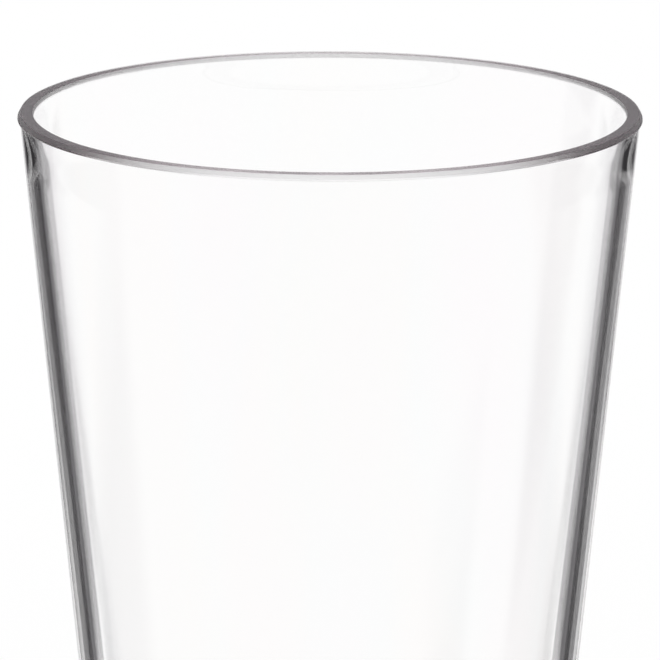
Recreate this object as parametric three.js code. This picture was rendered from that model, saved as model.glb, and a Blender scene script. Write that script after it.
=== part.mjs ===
// A clear straight-sided soda tumbler, moulded in one shot, so it is one solid turned about +Z.
// Millimetres, +Z up. The origin is the centre of the ring that the tumbler stands on.
import * as THREE from "three";

// Overall sizes. Both diameters are those of the wall's outer line, at the rim and at the standing plane.
const HEIGHT = 150;
const RIM_DIAMETER = 88.9;
const BASE_DIAMETER = 58.6;

// Wall and floor. The wall thickens from the rim down to the inside floor.
const RIM_WALL = 2.08;
const LOWER_WALL = 3.1;
const FLOOR_THICKNESS = 6.5;
const FLOOR_CORNER_RADIUS = 6;

// Mouth: the inside opens a little more between these two depths under the rim.
const MOUTH_FLARE = 0.1;
const FLARE_TOP = 1;
const FLARE_DEPTH = 8.5;

// Lip: a low band round the rim, bevelled at the top, that ends below in the sharp step of the parting line.
const LIP_HEIGHT = 0.82;
const LIP_PROUD = 0.25;
const LIP_DRAFT = 0.1;
const LIP_EDGE_RADIUS = 0.08;
const BEVEL_HEIGHT = 0.6;
const BEVEL_WIDTH = 0.35;
const STEP_HEIGHT = 0.08;

// Foot: a flat ring round a shallow recess, rounded into the wall at the heel.
const HEEL_RADIUS = 3;
const FOOT_WIDTH = 3.5;
const FOOT_EDGE_RADIUS = 0.6;
const RECESS_DEPTH = 2.5;
const RECESS_DRAFT = 0.4;
const RECESS_CORNER_RADIUS = 1.2;

// Gate: the stub where the plastic was let in, sunk in a well so that it clears the table.
const GATE_WELL_DIAMETER = 7;
const GATE_WELL_DEPTH = 0.6;
const GATE_STUB_DIAMETER = 2.4;
const GATE_STUB_HEIGHT = 0.4;

// Smoothness of the turned surface, of its rounded corners and of the flare
const SIDES = 72;
const FINE_STEPS = 2;
const CORNER_STEPS = 4;
const FLOOR_STEPS = 6;
const FLARE_STEPS = 6;

const rimRadius = RIM_DIAMETER / 2;
const baseRadius = BASE_DIAMETER / 2;
const floorLevel = RECESS_DEPTH + FLOOR_THICKNESS;

// Outer radius of the tapered wall at a height above the standing plane.
function wallRadius(height) {
  return THREE.MathUtils.lerp(baseRadius, rimRadius, height / HEIGHT);
}

// Inner radius of the wall at a height, with the flare of the mouth.
function innerRadius(height) {
  const rise = (height - floorLevel) / (HEIGHT - floorLevel);
  const wall = THREE.MathUtils.lerp(LOWER_WALL, RIM_WALL, rise);
  const opened = THREE.MathUtils.smoothstep(height, HEIGHT - FLARE_DEPTH, HEIGHT - FLARE_TOP);
  return wallRadius(height) - wall + MOUTH_FLARE * opened;
}

// A corner of the half section: distance from the axis, height, and how it is rounded.
function corner(radius, height, round = 0, steps = 0) {
  return { point: new THREE.Vector2(radius, height), round, steps };
}

// The points that replace one corner: an arc touching both of its edges, no longer than half of either.
function roundedCorner(before, { point, round, steps }, after) {
  if (!round) return [point];
  const back = before.point.clone().sub(point);
  const ahead = after.point.clone().sub(point);
  const room = Math.min(back.length(), ahead.length()) / 2;
  back.normalize();
  ahead.normalize();
  const halfAngle = Math.acos(back.dot(ahead)) / 2;
  const touch = Math.min(round / Math.tan(halfAngle), room);
  const middle = back.clone().add(ahead).normalize();
  const centre = point.clone().addScaledVector(middle, touch / Math.cos(halfAngle));
  const start = point.clone().addScaledVector(back, touch).sub(centre);
  const end = point.clone().addScaledVector(ahead, touch).sub(centre);
  const sweep = Math.atan2(start.cross(end), start.dot(end));
  const arc = [];
  for (let step = 0; step <= steps; step += 1) {
    const spoke = start.clone().rotateAround(new THREE.Vector2(), (sweep * step) / steps);
    arc.push(spoke.add(centre));
  }
  return arc;
}

// Underside, from the axis out to the heel.
function footCorners() {
  const stub = GATE_STUB_DIAMETER / 2;
  const well = GATE_WELL_DIAMETER / 2;
  const wellLevel = RECESS_DEPTH + GATE_WELL_DEPTH;
  const stubLevel = wellLevel - GATE_STUB_HEIGHT;
  const recess = baseRadius - HEEL_RADIUS - FOOT_WIDTH - FOOT_EDGE_RADIUS;
  return [
    corner(0, stubLevel),
    corner(stub, stubLevel),
    corner(stub, wellLevel),
    corner(well, wellLevel),
    corner(well, RECESS_DEPTH),
    corner(recess - RECESS_DRAFT, RECESS_DEPTH, RECESS_CORNER_RADIUS, CORNER_STEPS),
    corner(recess, 0, FOOT_EDGE_RADIUS, FINE_STEPS),
    corner(baseRadius, 0, HEEL_RADIUS, CORNER_STEPS),
  ];
}

// Lip, from the step at the top of the outer wall over to the inner edge of the rim.
function lipCorners() {
  const lipLevel = HEIGHT - LIP_HEIGHT;
  const stepLevel = lipLevel - STEP_HEIGHT;
  const lipRadius = rimRadius + LIP_PROUD;
  const bevelRadius = lipRadius - LIP_DRAFT;
  return [
    corner(wallRadius(stepLevel), stepLevel),
    corner(lipRadius, lipLevel),
    corner(bevelRadius, HEIGHT - BEVEL_HEIGHT, LIP_EDGE_RADIUS, FINE_STEPS),
    corner(bevelRadius - BEVEL_WIDTH, HEIGHT, LIP_EDGE_RADIUS, FINE_STEPS),
    corner(innerRadius(HEIGHT), HEIGHT, LIP_EDGE_RADIUS, FINE_STEPS),
  ];
}

// Inside, down the flare of the mouth and from the foot of the inner wall in to the axis.
function insideCorners() {
  const flare = [];
  for (let step = 0; step <= FLARE_STEPS; step += 1) {
    const level = HEIGHT - THREE.MathUtils.lerp(FLARE_TOP, FLARE_DEPTH, step / FLARE_STEPS);
    flare.push(corner(innerRadius(level), level));
  }
  return [
    ...flare,
    corner(innerRadius(floorLevel), floorLevel, FLOOR_CORNER_RADIUS, FLOOR_STEPS),
    corner(0, floorLevel),
  ];
}

function tumblerGeometry() {
  const corners = [...footCorners(), ...lipCorners(), ...insideCorners()];
  const last = corners.length - 1;
  const outline = corners.flatMap((each, index) =>
    roundedCorner(corners[Math.max(index - 1, 0)], each, corners[Math.min(index + 1, last)]),
  );
  const geometry = new THREE.LatheGeometry(outline, SIDES);
  geometry.rotateX(Math.PI / 2);
  return geometry;
}

const clearPlastic = new THREE.MeshStandardMaterial({
  color: 0xf4f7f8,
  roughness: 0.05,
  metalness: 0,
  transparent: true,
  opacity: 0.3,
});

const tumbler = new THREE.Mesh(tumblerGeometry(), clearPlastic);
tumbler.name = "tumbler";

const sodaGlass = new THREE.Group();
sodaGlass.add(tumbler);

export default sodaGlass;
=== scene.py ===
import math
from collections import namedtuple

import bmesh
import bpy
from mathutils import Matrix, Vector


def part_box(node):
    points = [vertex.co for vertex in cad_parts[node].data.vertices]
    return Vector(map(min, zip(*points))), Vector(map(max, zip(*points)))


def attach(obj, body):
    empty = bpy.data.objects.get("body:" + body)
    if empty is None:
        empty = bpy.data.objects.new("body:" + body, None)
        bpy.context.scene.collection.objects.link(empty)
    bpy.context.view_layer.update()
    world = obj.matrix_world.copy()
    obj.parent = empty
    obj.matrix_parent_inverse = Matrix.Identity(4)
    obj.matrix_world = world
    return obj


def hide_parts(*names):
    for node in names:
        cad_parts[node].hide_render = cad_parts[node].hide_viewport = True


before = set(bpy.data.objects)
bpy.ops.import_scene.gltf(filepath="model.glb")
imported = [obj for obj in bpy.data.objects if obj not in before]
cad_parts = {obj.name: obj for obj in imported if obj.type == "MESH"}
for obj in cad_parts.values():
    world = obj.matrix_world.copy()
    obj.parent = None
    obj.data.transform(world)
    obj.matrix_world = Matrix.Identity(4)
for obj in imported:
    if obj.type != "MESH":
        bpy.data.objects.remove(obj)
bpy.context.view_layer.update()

MM = 0.001
NODE = "tumbler"
SLOT = "clear_plastic"

# Sizes of the tumbler in millimetres, as in the CAD solid that it stands for
node_low, node_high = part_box(NODE)
HEIGHT = (node_high[2] - node_low[2]) / MM
RIM_RADIUS = 44.45
BASE_RADIUS = 29.3
RIM_WALL = 2.08
LOWER_WALL = 3.1
FLOOR_THICKNESS = 6.5
FLOOR_CORNER_RADIUS = 6.0
MOUTH_FLARE = 0.1
FLARE_TOP = 1.0
FLARE_DEPTH = 8.5
LIP_HEIGHT = 0.82
LIP_PROUD = 0.25
LIP_DRAFT = 0.1
LIP_EDGE_RADIUS = 0.08
BEVEL_HEIGHT = 0.6
BEVEL_WIDTH = 0.35
STEP_HEIGHT = 0.08
STEP_TIP_RADIUS = 0.03
STEP_ROOT_RADIUS = 0.05
HEEL_RADIUS = 3.0
FOOT_WIDTH = 3.5
FOOT_EDGE_RADIUS = 0.6
RECESS_DEPTH = 2.5
RECESS_DRAFT = 0.4
RECESS_CORNER_RADIUS = 1.2
GATE_WELL_RADIUS = 3.5
GATE_WELL_DEPTH = 0.6
GATE_STUB_RADIUS = 1.2
GATE_STUB_HEIGHT = 0.4
GATE_EDGE_RADIUS = 0.1
FLOOR_LEVEL = RECESS_DEPTH + FLOOR_THICKNESS
LIP_LEVEL = HEIGHT - LIP_HEIGHT
BEVEL_LEVEL = HEIGHT - BEVEL_HEIGHT

# Fineness of the turned mesh. Its rings keep a spacing along an edge and a margin at both ends, in mm.
SIDES = 288
ARC_STEPS = 10
FLARE_STEPS = 24
RING_SPACING = 4.0
EDGE_MARGIN = 0.12
SHORT_EDGE = 3 * EDGE_MARGIN

# The camera, set by the rim as the photograph shows it: pixels, metres, and millimetres for the sensor
PHOTO_SIDE = 660
RIM_PIXELS = 310.9
RIM_ABOVE_MIDDLE = 219.3
AXIS_LEFT_OF_MIDDLE = 0.55
RIM_ELEVATION = math.radians(11.5)
CAMERA_ROLL = math.radians(0.16)
CAMERA_DISTANCE = 1.14
CAMERA_REACH = 20.0
SENSOR = 36.0

# Finish of the plastic. The lip's faces are matte, and their finish fades in over an edge in millimetres.
# The stretches of the stress tints and of the ripples are in waves per metre.
REFRACTION = 1.57
ABSORPTION = 3.4
ABSORPTION_HUE = (0.2, 0.0, 0.09, 1.0)
LAND_MATTE = 0.25
BEVEL_MATTE = 0.45
BAND_MATTE = 0.2
MATTE_EDGE = 0.05
LAND_EDGE = 0.03
STRESS_STRETCH = (55, 55, 11)
STRESS_TINTS = [
    (0.34, (1.0, 0.993, 0.997, 1.0)),
    (0.46, (0.998, 0.998, 0.998, 1.0)),
    (0.56, (0.994, 0.999, 0.998, 1.0)),
    (0.66, (1.0, 0.997, 0.992, 1.0)),
]
RIPPLE_STRETCH = (95, 95, 16)
RIPPLE_DEPTH = 0.025

# The studio: a white room with a darker ceiling. Directions are in degrees.
WHITE = (1, 1, 1, 1)
HORIZONTAL = (1, 1, 0)
CEILING = 0.34
CEILING_FROM = 6.0
CEILING_TO = 10.0
LIGHT_BOUNCES = 160

# Pairs of dark cards, which draw the edges of a clear body, stand to the left and right of a heading.
# Each card has a low and a high end, and soft edges where it starts and ends to the side of the heading.
# Its shade is the light that it leaves, and its lean shifts the two edges with the drop below a level.
Pair = namedtuple("Pair", "heading low high start end shade lean", defaults=[(0, 0)])
CLEAN_EDGE = (14.4, 15.1)
CARD_PAIRS = [
    Pair(heading=0, low=-20, high=-12.2, start=CLEAN_EDGE, end=(32.3, 37.3), shade=0.05, lean=(0.3, 0.85)),
    Pair(heading=0, low=-20, high=-12.2, start=(20, 24), end=(43.5, 52.5), shade=0.6, lean=(0, 0.8)),
    Pair(heading=0, low=-7, high=1, start=CLEAN_EDGE, end=(34, 46), shade=0.14),
    Pair(heading=0, low=-30, high=-21.1, start=(46, 58), end=(85, 92), shade=0.64),
    Pair(heading=-45, low=-45, high=-28, start=CLEAN_EDGE, end=(34, 40), shade=0.45),
    Pair(heading=45, low=-45, high=-28, start=CLEAN_EDGE, end=(34, 40), shade=0.45),
    Pair(heading=-90, low=-8, high=-5.5, start=(13, 18), end=(34, 46), shade=0.5),
    Pair(heading=135, low=-20, high=-10, start=CLEAN_EDGE, end=(37, 48), shade=0.25),
]
CARD_HUE = (1.05, 1.0, 1.06, 1.0)
CARD_FADE = (14.6, 19.6)
CARD_EDGE_SHADE = 0.4
CARD_SOFT_ENDS = 1.0
LEAN_LEVEL = -14.1

# The floor, in metres, and the gap in millimetres that keeps it clear of the foot ring
FLOOR_RADIUS = 6.0
FLOOR_SIDES = 128
FLOOR_GLOW = 0.55
FLOOR_GAP = 0.05


def wall_radius(height):
    """Outer radius of the tapered wall."""
    return BASE_RADIUS + (RIM_RADIUS - BASE_RADIUS) * height / HEIGHT


def inner_radius(height):
    """Inner radius of the wall, which opens a little more towards the mouth."""
    share = (height - FLOOR_LEVEL) / (HEIGHT - FLOOR_LEVEL)
    straight = wall_radius(height) - LOWER_WALL - (RIM_WALL - LOWER_WALL) * share
    opened = (FLARE_DEPTH - (HEIGHT - height)) / (FLARE_DEPTH - FLARE_TOP)
    opened = min(max(opened, 0.0), 1.0)
    return straight + MOUTH_FLARE * opened * opened * (3 - 2 * opened)


def corners():
    """Corners of the half section from the gate to the inside floor: radius, height and rounding."""
    recess = BASE_RADIUS - HEEL_RADIUS - FOOT_WIDTH - FOOT_EDGE_RADIUS
    lip_radius = RIM_RADIUS + LIP_PROUD
    bevel_radius = lip_radius - LIP_DRAFT
    step_level = LIP_LEVEL - STEP_HEIGHT
    well_level = RECESS_DEPTH + GATE_WELL_DEPTH
    stub_level = well_level - GATE_STUB_HEIGHT
    depths = [FLARE_TOP + (FLARE_DEPTH - FLARE_TOP) * step / FLARE_STEPS for step in range(FLARE_STEPS + 1)]
    mouth = [(inner_radius(HEIGHT - depth), HEIGHT - depth, 0.0) for depth in depths]
    return [
        (0.0, stub_level, 0.0),
        (GATE_STUB_RADIUS, stub_level, GATE_EDGE_RADIUS),
        (GATE_STUB_RADIUS, well_level, GATE_EDGE_RADIUS),
        (GATE_WELL_RADIUS, well_level, GATE_EDGE_RADIUS),
        (GATE_WELL_RADIUS, RECESS_DEPTH, GATE_EDGE_RADIUS),
        (recess - RECESS_DRAFT, RECESS_DEPTH, RECESS_CORNER_RADIUS),
        (recess, 0.0, FOOT_EDGE_RADIUS),
        (BASE_RADIUS, 0.0, HEEL_RADIUS),
        (wall_radius(step_level), step_level, STEP_ROOT_RADIUS),
        (lip_radius, LIP_LEVEL, STEP_TIP_RADIUS),
        (bevel_radius, BEVEL_LEVEL, LIP_EDGE_RADIUS),
        (bevel_radius - BEVEL_WIDTH, HEIGHT, LIP_EDGE_RADIUS),
        (inner_radius(HEIGHT), HEIGHT, LIP_EDGE_RADIUS),
        *mouth,
        (inner_radius(FLOOR_LEVEL), FLOOR_LEVEL, FLOOR_CORNER_RADIUS),
        (0.0, FLOOR_LEVEL, 0.0),
    ]


def rounded(before, corner, after, radius):
    """The points that replace one corner: an arc touching both of its edges."""
    if not radius:
        return [corner]
    back = before - corner
    ahead = after - corner
    room = min(back.length, ahead.length) / 2
    back.normalize()
    ahead.normalize()
    half_angle = back.angle(ahead) / 2
    touch = min(radius / math.tan(half_angle), room)
    centre = corner + (back + ahead).normalized() * (touch / math.cos(half_angle))
    start = corner + back * touch - centre
    end = corner + ahead * touch - centre
    sweep = math.atan2(start.cross(end), start.dot(end))
    turns = [Matrix.Rotation(sweep * step / ARC_STEPS, 2) for step in range(ARC_STEPS + 1)]
    return [centre + turn @ start for turn in turns]


def outline():
    """The half section, with its long edges cut into even spans and a close ring beside each corner."""
    marks = corners()
    points = [Vector(mark[:2]) for mark in marks]
    last = len(points) - 1
    bare = []
    for index, (_, _, radius) in enumerate(marks):
        before = points[max(index - 1, 0)]
        after = points[min(index + 1, last)]
        bare += rounded(before, points[index], after, radius)
    filled = [bare[0]]
    for here, there in zip(bare, bare[1:]):
        gap = (there - here).length
        if gap > SHORT_EDGE:
            margin = EDGE_MARGIN / gap
            spans = max(1, round(gap / RING_SPACING))
            shares = [margin, *(span / spans for span in range(1, spans)), 1 - margin]
            filled += [here.lerp(there, share) for share in shares]
        filled.append(there)
    return filled


def ring(bm, point):
    """The vertices that one point of the section sweeps, or a single one on the axis."""
    if point.x == 0.0:
        return [bm.verts.new((0, 0, point.y * MM))]
    spokes = [Matrix.Rotation(math.tau * side / SIDES, 3, "Z") for side in range(SIDES)]
    return [bm.verts.new(spoke @ Vector((point.x, 0, point.y)) * MM) for spoke in spokes]


def lathe(name, profile):
    """A smooth body turned about the upright axis from a half section that starts and ends on it."""
    bm = bmesh.new()
    rings = [ring(bm, point) for point in profile]
    for low, high in zip(rings, rings[1:]):
        for side in range(SIDES):
            following = (side + 1) % SIDES
            if len(low) == 1:
                bm.faces.new((low[0], high[following], high[side]))
            elif len(high) == 1:
                bm.faces.new((low[side], low[following], high[0]))
            else:
                bm.faces.new((low[side], low[following], high[following], high[side]))
    bmesh.ops.recalc_face_normals(bm, faces=bm.faces)
    mesh = bpy.data.meshes.new(name)
    bm.to_mesh(mesh)
    bm.free()
    mesh.shade_smooth()
    piece = bpy.data.objects.new(name, mesh)
    bpy.context.scene.collection.objects.link(piece)
    return piece


def sine(degrees):
    return math.sin(math.radians(degrees))


def cosine(degrees):
    return math.cos(math.radians(degrees))


def feed(tree, socket, value):
    """Link a node's output to a socket, or set the socket to a constant."""
    if isinstance(value, bpy.types.NodeSocket):
        tree.links.new(value, socket)
    else:
        socket.default_value = value


def math_node(tree, operation, first, second):
    """The result of an operation on two numbers."""
    made = tree.nodes.new("ShaderNodeMath")
    made.operation = operation
    feed(tree, made.inputs[0], first)
    feed(tree, made.inputs[1], second)
    return made.outputs[0]


def vector_node(tree, operation, output, *vectors):
    """The named output of an operation on one or two vectors."""
    made = tree.nodes.new("ShaderNodeVectorMath")
    made.operation = operation
    for socket, vector in zip(made.inputs, vectors):
        feed(tree, socket, vector)
    return made.outputs[output]


def upward(tree, vector):
    """The upward part of a vector."""
    split = tree.nodes.new("ShaderNodeSeparateXYZ")
    tree.links.new(vector, split.inputs[0])
    return split.outputs["Z"]


def ramp(tree, value, low, high, at_low=0.0, at_high=1.0):
    """A value that goes smoothly from one level to another between two limits."""
    made = tree.nodes.new("ShaderNodeMapRange")
    made.interpolation_type = "SMOOTHSTEP"
    tree.links.new(value, made.inputs["Value"])
    made.inputs["From Min"].default_value = low
    made.inputs["From Max"].default_value = high
    made.inputs["To Min"].default_value = at_low
    made.inputs["To Max"].default_value = at_high
    return made.outputs["Result"]


def stretched_noise(tree, place, stretch):
    """Smooth noise, drawn out along the height as the plastic flowed."""
    mapping = tree.nodes.new("ShaderNodeMapping")
    mapping.inputs["Scale"].default_value = stretch
    tree.links.new(place, mapping.inputs["Vector"])
    noise = tree.nodes.new("ShaderNodeTexNoise")
    noise.inputs["Scale"].default_value = 1.0
    noise.inputs["Detail"].default_value = 0.0
    tree.links.new(mapping.outputs[0], noise.inputs["Vector"])
    return noise.outputs["Fac"]


def plastic_tint(tree, place):
    """Faint tints of the stress left in the plastic."""
    tints = tree.nodes.new("ShaderNodeValToRGB")
    tree.links.new(stretched_noise(tree, place, STRESS_STRETCH), tints.inputs["Fac"])
    stops = tints.color_ramp.elements
    for position, tint in STRESS_TINTS:
        stops.new(position).color = tint
    stops.remove(stops[0])
    stops.remove(stops[-1])
    return tints.outputs["Color"]


def plastic_roughness(tree, place):
    """A polished body and a matte lip, whose bevel is rougher than its band below and flat land above."""
    height = upward(tree, place)
    band = ramp(tree, height, (LIP_LEVEL - MATTE_EDGE) * MM, LIP_LEVEL * MM, 0.0, BAND_MATTE)
    bevel_from = (BEVEL_LEVEL - MATTE_EDGE) * MM
    bevel = ramp(tree, height, bevel_from, BEVEL_LEVEL * MM, 0.0, BEVEL_MATTE - BAND_MATTE)
    land_from = (HEIGHT - LAND_EDGE) * MM
    land = ramp(tree, height, land_from, HEIGHT * MM, 0.0, BEVEL_MATTE - LAND_MATTE)
    return math_node(tree, "SUBTRACT", math_node(tree, "ADD", band, bevel), land)


def flow_ripple(tree, place):
    """Slight ripples that the flow left in both faces of the wall."""
    bump = tree.nodes.new("ShaderNodeBump")
    bump.inputs["Strength"].default_value = 1.0
    bump.inputs["Distance"].default_value = RIPPLE_DEPTH * MM
    tree.links.new(stretched_noise(tree, place, RIPPLE_STRETCH), bump.inputs["Height"])
    return bump.outputs["Normal"]


def clear_plastic():
    """Water-clear moulded plastic."""
    material = bpy.data.materials.new(SLOT)
    material.use_nodes = True
    tree = material.node_tree
    place = tree.nodes.new("ShaderNodeTexCoord").outputs["Object"]
    principled = tree.nodes["Principled BSDF"]
    tree.links.new(plastic_tint(tree, place), principled.inputs["Base Color"])
    tree.links.new(plastic_roughness(tree, place), principled.inputs["Roughness"])
    tree.links.new(flow_ripple(tree, place), principled.inputs["Normal"])
    principled.inputs["IOR"].default_value = REFRACTION
    principled.inputs["Transmission Weight"].default_value = 1.0
    absorption = tree.nodes.new("ShaderNodeVolumeAbsorption")
    absorption.inputs["Color"].default_value = ABSORPTION_HUE
    absorption.inputs["Density"].default_value = ABSORPTION
    tree.links.new(absorption.outputs[0], tree.nodes["Material Output"].inputs["Volume"])
    return material


def cards(tree, direction, pair):
    """The light that a pair of dark cards leaves in each direction: 1 beside them."""
    height = upward(tree, direction)
    level = vector_node(tree, "MULTIPLY", "Vector", direction, HORIZONTAL)
    unit = vector_node(tree, "NORMALIZE", "Vector", level)
    heading = (sine(pair.heading), cosine(pair.heading), 0)
    turned = vector_node(tree, "DOT_PRODUCT", "Value", unit, heading)
    drop = math_node(tree, "SUBTRACT", sine(LEAN_LEVEL), height)
    inner_lean, outer_lean = (math_node(tree, "MULTIPLY", drop, lean) for lean in pair.lean)
    inner = math_node(tree, "ADD", turned, inner_lean)
    outer = math_node(tree, "ADD", turned, outer_lean)
    inner_edge = ramp(tree, inner, cosine(pair.start[1]), cosine(pair.start[0]), 1, 0)
    outer_edge = ramp(tree, outer, cosine(pair.end[1]), cosine(pair.end[0]))
    foot = ramp(tree, height, sine(pair.low - CARD_SOFT_ENDS), sine(pair.low))
    head = ramp(tree, height, sine(pair.high), sine(pair.high + CARD_SOFT_ENDS), 1, 0)
    across = math_node(tree, "MULTIPLY", inner_edge, outer_edge)
    cover = math_node(tree, "MULTIPLY", across, math_node(tree, "MULTIPLY", foot, head))
    edge_shade = max(pair.shade, CARD_EDGE_SHADE)
    shade = ramp(tree, turned, cosine(CARD_FADE[1]), cosine(CARD_FADE[0]), 1 - pair.shade, 1 - edge_shade)
    return math_node(tree, "SUBTRACT", 1, math_node(tree, "MULTIPLY", cover, shade))


def make_world():
    """A plain white background, in which only the plastic sees the ceiling and the cards."""
    world = bpy.data.worlds.new("studio")
    bpy.context.scene.world = world
    world.use_nodes = True
    tree = world.node_tree
    tree.nodes.clear()
    direction = tree.nodes.new("ShaderNodeTexCoord").outputs["Generated"]
    room = ramp(tree, upward(tree, direction), sine(CEILING_FROM), sine(CEILING_TO), 1.0, CEILING)
    for pair in CARD_PAIRS:
        room = math_node(tree, "MINIMUM", room, cards(tree, direction, pair))
    path = tree.nodes.new("ShaderNodeLightPath")
    by_plastic = math_node(tree, "ADD", path.outputs["Is Glossy Ray"], path.outputs["Is Transmission Ray"])
    strength = tree.nodes.new("ShaderNodeMix")
    tree.links.new(by_plastic, strength.inputs["Factor"])
    strength.inputs["A"].default_value = 1.0
    tree.links.new(room, strength.inputs["B"])
    light = strength.outputs["Result"]
    hue = tree.nodes.new("ShaderNodeMixRGB")
    tree.links.new(light, hue.inputs["Fac"])
    hue.inputs["Color1"].default_value = CARD_HUE
    hue.inputs["Color2"].default_value = WHITE
    back = tree.nodes.new("ShaderNodeBackground")
    tree.links.new(hue.outputs["Color"], back.inputs["Color"])
    tree.links.new(light, back.inputs["Strength"])
    out = tree.nodes.new("ShaderNodeOutputWorld")
    tree.links.new(back.outputs[0], out.inputs["Surface"])


def make_floor():
    """A white floor that glows enough to keep only a soft shadow."""
    bpy.ops.mesh.primitive_circle_add(vertices=FLOOR_SIDES, radius=FLOOR_RADIUS, fill_type="NGON")
    floor = bpy.context.object
    floor.name = "floor"
    floor.location.z = -FLOOR_GAP * MM
    floor.visible_transmission = False
    floor.visible_glossy = False
    material = bpy.data.materials.new("floor")
    material.use_nodes = True
    tree = material.node_tree
    tree.nodes.clear()
    glow = tree.nodes.new("ShaderNodeEmission")
    glow.inputs["Strength"].default_value = FLOOR_GLOW
    dull = tree.nodes.new("ShaderNodeBsdfDiffuse")
    grey = 1 - FLOOR_GLOW
    dull.inputs["Color"].default_value = (grey, grey, grey, 1)
    both = tree.nodes.new("ShaderNodeAddShader")
    tree.links.new(glow.outputs[0], both.inputs[0])
    tree.links.new(dull.outputs[0], both.inputs[1])
    out = tree.nodes.new("ShaderNodeOutputMaterial")
    tree.links.new(both.outputs[0], out.inputs["Surface"])
    floor.data.materials.append(material)


def make_camera():
    """A camera that puts the rim where the photograph has it."""
    data = bpy.data.cameras.new("camera")
    data.sensor_width = SENSOR
    focal_pixels = RIM_PIXELS / (RIM_RADIUS * MM) * CAMERA_DISTANCE
    data.lens = focal_pixels / PHOTO_SIDE * SENSOR
    data.clip_end = CAMERA_REACH
    camera = bpy.data.objects.new("camera", data)
    bpy.context.scene.collection.objects.link(camera)
    rim = Vector((0, 0, HEIGHT * MM))
    back = Vector((0, -math.cos(RIM_ELEVATION), math.sin(RIM_ELEVATION)))
    camera.location = rim + back * CAMERA_DISTANCE
    pitch = RIM_ELEVATION + math.atan(RIM_ABOVE_MIDDLE / focal_pixels)
    yaw = math.atan(AXIS_LEFT_OF_MIDDLE / focal_pixels)
    aim = Matrix.Rotation(-yaw, 3, "Z") @ Matrix.Rotation(math.pi / 2 - pitch, 3, "X")
    camera.rotation_euler = (aim @ Matrix.Rotation(CAMERA_ROLL, 3, "Z")).to_euler()
    bpy.context.scene.camera = camera


tumbler = lathe("tumbler_body", outline())
tumbler.data.materials.append(clear_plastic())
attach(tumbler, "root")
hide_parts(NODE)

make_world()
make_floor()
make_camera()

scene = bpy.context.scene
scene.view_settings.view_transform = "Standard"
scene.cycles.max_bounces = LIGHT_BOUNCES
scene.cycles.glossy_bounces = LIGHT_BOUNCES
scene.cycles.transmission_bounces = LIGHT_BOUNCES
